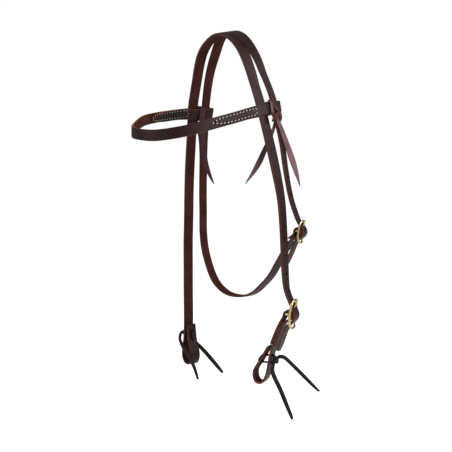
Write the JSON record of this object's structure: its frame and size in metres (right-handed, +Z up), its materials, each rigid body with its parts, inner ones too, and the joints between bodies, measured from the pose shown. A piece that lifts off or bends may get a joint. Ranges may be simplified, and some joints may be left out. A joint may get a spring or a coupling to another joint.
{
  "type": "western bridle headstall",
  "caption": "Western browband headstall of oiled leather straps with a slit crown, a throatlatch, brass buckles and tied bit loops.",
  "frame": {"origin": "underside of the crown in the middle, where the headstall lies on the horse's poll", "axes": "+Z up, -Y the way the horse faces, +X the horse's left, which is the near side with the buckles"},
  "size_m": [0.3026, 0.2076, 0.5639],
  "materials": {
    "oiled_leather": "oiled, low sheen",
    "latigo_leather": "matte, soft tempered",
    "lace_leather": "matte, cut edges",
    "brass": "polished cast"
  },
  "bodies": {
    "headstall": {"crown_strap": "oiled_leather", "far_cheek_strap": "oiled_leather", "throatlatch": "oiled_leather", "cheek_buckle_frame": "brass", "throat_buckle_frame": "brass", "far_bit_tie": "lace_leather"},
    "browband": {"browband": "oiled_leather", "near_browband_tie": "latigo_leather", "far_browband_tie": "latigo_leather"},
    "bit_strap": {"near_bit_strap": "oiled_leather", "near_bit_tie": "lace_leather"},
    "cheek_tongue": {"cheek_buckle_tongue": "brass"},
    "throat_tongue": {"throat_buckle_tongue": "brass"}
  },
  "joints": [
    {"name": "browband_slide", "type": "slide", "parent": "headstall", "child": "browband", "axis": [0, -0.1125, 0.9937], "range_m": [0, 0.005]},
    {"name": "bit_strap_swing", "type": "hinge", "parent": "headstall", "child": "bit_strap", "pos_m": [0.1271, 0.0171, -0.4049], "axis": [-0.4384, 0.8988, 0], "range_deg": [0, 25]},
    {"name": "cheek_tongue_hinge", "type": "hinge", "parent": "headstall", "child": "cheek_tongue", "pos_m": [0.1271, 0.0171, -0.4049], "axis": [-0.4384, 0.8988, 0], "range_deg": [0, 4]},
    {"name": "throat_tongue_hinge", "type": "hinge", "parent": "headstall", "child": "throat_tongue", "pos_m": [0.1166, 0.044, -0.2893], "axis": [-0.4384, 0.8988, 0], "range_deg": [0, 4]}
  ]
}
